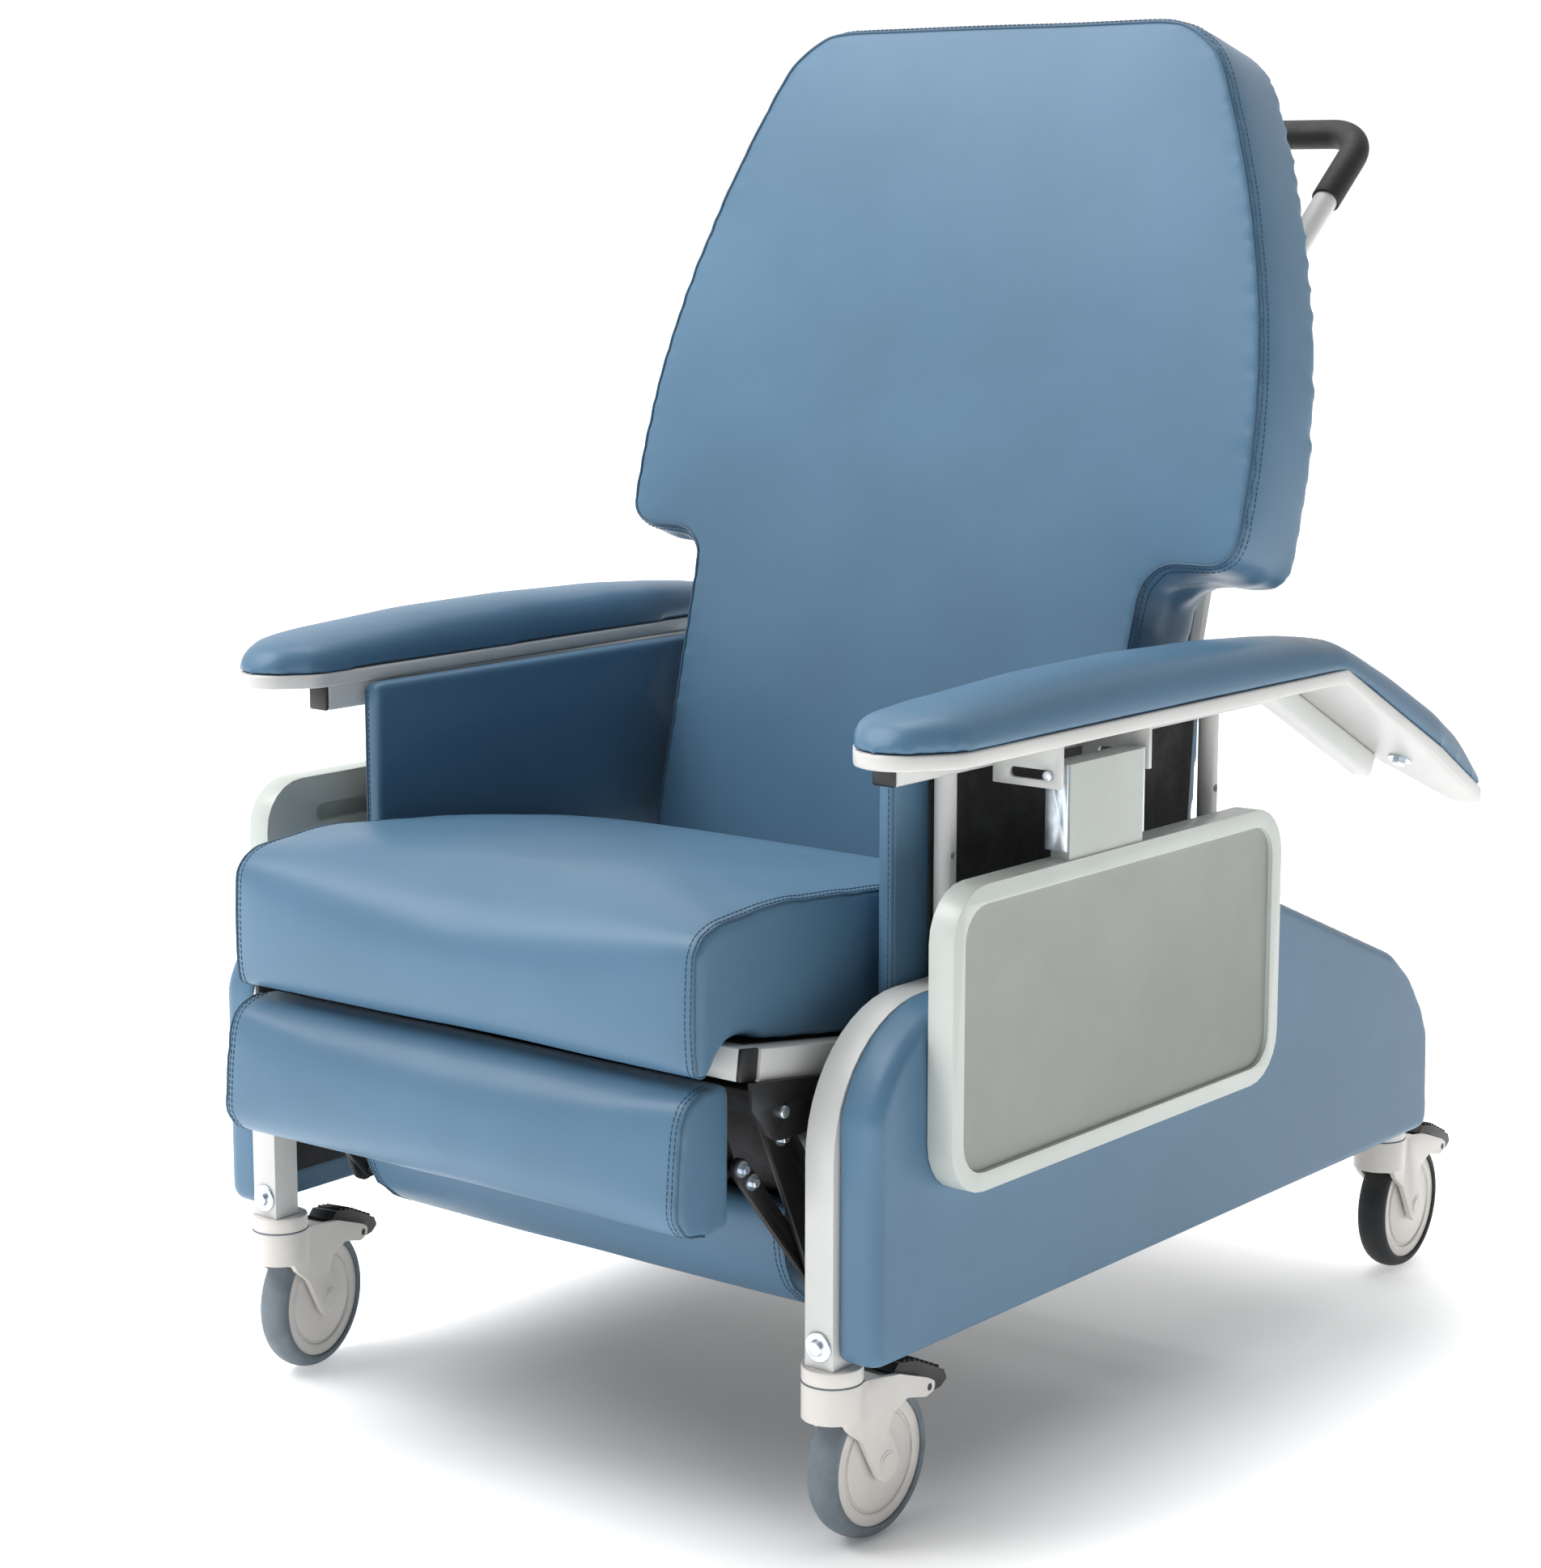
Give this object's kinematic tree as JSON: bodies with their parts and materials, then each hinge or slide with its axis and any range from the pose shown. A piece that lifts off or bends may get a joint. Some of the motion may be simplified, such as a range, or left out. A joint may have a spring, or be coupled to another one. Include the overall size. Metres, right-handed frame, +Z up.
{
  "type": "patient recliner chair",
  "caption": "Wheeled clinical recliner: padded seat, winged reclining back, fold-out legrest, drop arms with swing-up side trays and braked swivel castors.",
  "frame": {"origin": "on the floor, in the middle of the chair's footprint rectangle (bounding box bottom centre)", "axes": "+Z up, the sitter faces -Y, +X is the sitter's left"},
  "size_m": [0.766, 1.0958, 1.1788],
  "materials": {
    "painted_steel": "semi-gloss powder coat",
    "black_steel": "satin black",
    "zinc": "bright zinc plate",
    "vinyl": "smooth blue upholstery vinyl",
    "plywood": "black stained board",
    "tray_plastic": "fine matte, grey-green",
    "cream_plastic": "semi-gloss cream",
    "black_plastic": "matte black",
    "foam_grip": "black foam",
    "grey_rubber": "blue-grey rubber",
    "dark_rubber": "near-black rubber"
  },
  "bodies": {
    "base": {"side_frame_left": "painted_steel", "side_frame_right": "painted_steel", "side_panel_left": "vinyl", "side_panel_right": "vinyl", "panel_boards": "plywood", "post_sleeves": "painted_steel", "cross_tubes": "painted_steel", "seat_frame": "painted_steel", "seat_rail_caps": "black_plastic", "seat_deck": "plywood", "seat_cushion": "vinyl", "recline_brackets": "black_steel", "leg_mounts": "black_steel", "frame_bolts": "zinc", "castor_stems": "cream_plastic"},
    "back": {"back_frame": "painted_steel", "back_board": "plywood", "back_cushion": "vinyl", "push_handle": "painted_steel", "handle_grip": "foam_grip"},
    "lower_legrest": {"rear_links": "black_steel", "mid_board": "plywood", "mid_pad": "vinyl"},
    "leg_links": {"front_links": "black_steel"},
    "calf_rest": {"calf_board": "plywood", "calf_pad": "vinyl"},
    "arm_left": {"arm_rail_left": "painted_steel", "arm_cap_left": "black_plastic", "arm_posts_left": "painted_steel", "arm_base_left": "cream_plastic", "arm_pad_left": "vinyl", "arm_panel_left": "vinyl", "tray_bracket_left": "painted_steel"},
    "side_tray_left": {"tray_left": "tray_plastic", "tray_brace_left": "zinc"},
    "arm_right": {"arm_rail_right": "painted_steel", "arm_cap_right": "black_plastic", "arm_posts_right": "painted_steel", "arm_base_right": "cream_plastic", "arm_pad_right": "vinyl", "arm_panel_right": "vinyl", "tray_bracket_right": "painted_steel"},
    "side_tray_right": {"tray_right": "tray_plastic", "tray_brace_right": "zinc"},
    "castor_front_left": {"fork_front_left": "cream_plastic"},
    "wheel_front_left": {"wheel_front_left": "cream_plastic", "tyre_front_left": "grey_rubber"},
    "brake_front_left": {"pedal_front_left": "black_plastic"},
    "castor_front_right": {"fork_front_right": "cream_plastic"},
    "wheel_front_right": {"wheel_front_right": "cream_plastic", "tyre_front_right": "grey_rubber"},
    "brake_front_right": {"pedal_front_right": "black_plastic"},
    "castor_rear_left": {"fork_rear_left": "cream_plastic"},
    "wheel_rear_left": {"wheel_rear_left": "cream_plastic", "tyre_rear_left": "dark_rubber"},
    "brake_rear_left": {"pedal_rear_left": "black_plastic"},
    "castor_rear_right": {"fork_rear_right": "cream_plastic"},
    "wheel_rear_right": {"wheel_rear_right": "cream_plastic", "tyre_rear_right": "dark_rubber"},
    "brake_rear_right": {"pedal_rear_right": "black_plastic"}
  },
  "joints": [
    {"name": "back_recline", "type": "hinge", "parent": "base", "child": "back", "pos_m": [0, 0.133, 0.385], "axis": [-1, 0, 0], "range_deg": [0, 36]},
    {"name": "legrest_lift", "type": "hinge", "parent": "base", "child": "lower_legrest", "pos_m": [0, -0.452, 0.345], "axis": [-1, 0, 0], "range_deg": [0, 125]},
    {"name": "leg_link_turn", "type": "hinge", "parent": "lower_legrest", "child": "leg_links", "pos_m": [0, -0.382, 0.19], "axis": [-1, 0, 0], "range_deg": [-170, 0]},
    {"name": "calf_turn", "type": "hinge", "parent": "leg_links", "child": "calf_rest", "pos_m": [0, -0.476, 0.302], "axis": [-1, 0, 0], "range_deg": [0, 127]},
    {"name": "arm_left_drop", "type": "slide", "parent": "base", "child": "arm_left", "axis": [0, 0, -1], "range_m": [0, 0.13]},
    {"name": "arm_right_drop", "type": "slide", "parent": "base", "child": "arm_right", "axis": [0, 0, -1], "range_m": [0, 0.13]},
    {"name": "tray_left_lift", "type": "hinge", "parent": "arm_left", "child": "side_tray_left", "pos_m": [0.368, -0.182, 0.584], "axis": [0, -1, 0], "range_deg": [0, 90]},
    {"name": "tray_right_lift", "type": "hinge", "parent": "arm_right", "child": "side_tray_right", "pos_m": [-0.368, -0.182, 0.584], "axis": [0, 1, 0], "range_deg": [0, 90]},
    {"name": "swivel_front_left", "type": "hinge", "parent": "base", "child": "castor_front_left", "pos_m": [0.3045, -0.435, 0.12], "axis": [0, 0, 1], "continuous": true},
    {"name": "roll_front_left", "type": "hinge", "parent": "castor_front_left", "child": "wheel_front_left", "pos_m": [0.30525, -0.39201, 0.0625], "axis": [0.9998, -0.0175, 0], "continuous": true},
    {"name": "brake_front_left", "type": "hinge", "parent": "castor_front_left", "child": "brake_front_left", "pos_m": [0.30617, -0.33902, 0.109], "axis": [-0.9998, 0.0175, 0], "range_deg": [0, 12]},
    {"name": "swivel_front_right", "type": "hinge", "parent": "base", "child": "castor_front_right", "pos_m": [-0.3045, -0.435, 0.12], "axis": [0, 0, 1], "continuous": true},
    {"name": "roll_front_right", "type": "hinge", "parent": "castor_front_right", "child": "wheel_front_right", "pos_m": [-0.31271, -0.39279, 0.0625], "axis": [0.9816, 0.1908, 0], "continuous": true},
    {"name": "brake_front_right", "type": "hinge", "parent": "castor_front_right", "child": "brake_front_right", "pos_m": [-0.32282, -0.34076, 0.109], "axis": [-0.9816, -0.1908, 0], "range_deg": [0, 12]},
    {"name": "swivel_rear_left", "type": "hinge", "parent": "base", "child": "castor_rear_left", "pos_m": [0.3045, 0.42, 0.12], "axis": [0, 0, 1], "continuous": true},
    {"name": "roll_rear_left", "type": "hinge", "parent": "castor_rear_left", "child": "wheel_rear_left", "pos_m": [0.303, 0.46297, 0.0625], "axis": [0.9994, 0.0349, 0], "continuous": true},
    {"name": "brake_rear_left", "type": "hinge", "parent": "castor_rear_left", "child": "brake_rear_left", "pos_m": [0.30115, 0.51594, 0.109], "axis": [-0.9994, -0.0349, 0], "range_deg": [0, 12]},
    {"name": "swivel_rear_right", "type": "hinge", "parent": "base", "child": "castor_rear_right", "pos_m": [-0.3045, 0.42, 0.12], "axis": [0, 0, 1], "continuous": true},
    {"name": "roll_rear_right", "type": "hinge", "parent": "castor_rear_right", "child": "wheel_rear_right", "pos_m": [-0.3045, 0.463, 0.0625], "axis": [1, 0, 0], "continuous": true},
    {"name": "brake_rear_right", "type": "hinge", "parent": "castor_rear_right", "child": "brake_rear_right", "pos_m": [-0.3045, 0.516, 0.109], "axis": [-1, 0, 0], "range_deg": [0, 12]}
  ],
  "couplings": [
    {"joint": "leg_link_turn", "follows": "legrest_lift", "ratio": -1.36},
    {"joint": "calf_turn", "follows": "legrest_lift", "ratio": 1.016}
  ]
}
